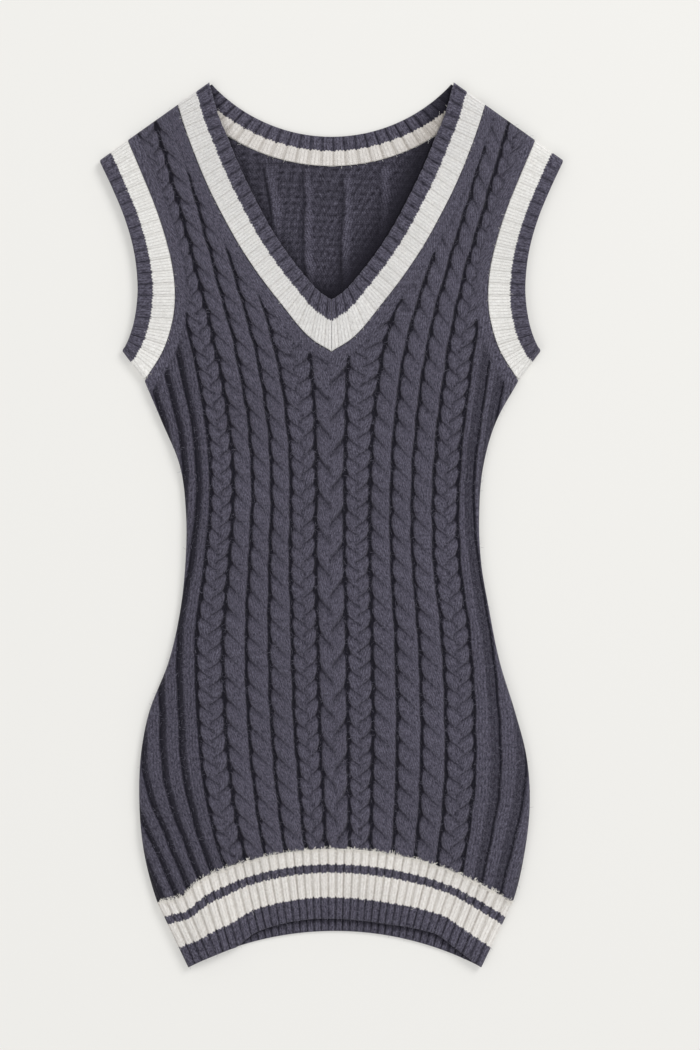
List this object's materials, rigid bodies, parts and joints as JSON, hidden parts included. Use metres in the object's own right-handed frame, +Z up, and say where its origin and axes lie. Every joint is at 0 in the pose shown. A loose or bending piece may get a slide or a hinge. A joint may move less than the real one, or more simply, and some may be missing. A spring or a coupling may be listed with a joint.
{
  "type": "sweater vest dress",
  "caption": "Sleeveless cable-knit sweater vest dress with a V neck, striped rib bands and a narrow waist, laid flat face up.",
  "frame": {"origin": "middle of the bounding box, on the surface that the dress lies on", "axes": "+Z up out of the front, +Y from the hem to the shoulders, +X towards the wearer's left"},
  "size_m": [0.4258, 0.8129, 0.0112],
  "materials": {
    "charcoal_yarn": "matt charcoal wool-blend yarn in cable knit, with a slight fuzz",
    "ivory_yarn": "matt ivory wool-blend yarn in rib knit, striped with the charcoal yarn, with a slight fuzz"
  },
  "bodies": {
    "root": {"front_panel": "charcoal_yarn", "back_panel": "charcoal_yarn", "neckband_front_right": "ivory_yarn", "neckband_front_left": "ivory_yarn", "neckband_back": "ivory_yarn", "armhole_band_right": "ivory_yarn", "armhole_band_left": "ivory_yarn", "hem_band_front": "ivory_yarn", "hem_band_back": "ivory_yarn"}
  },
  "joints": []
}
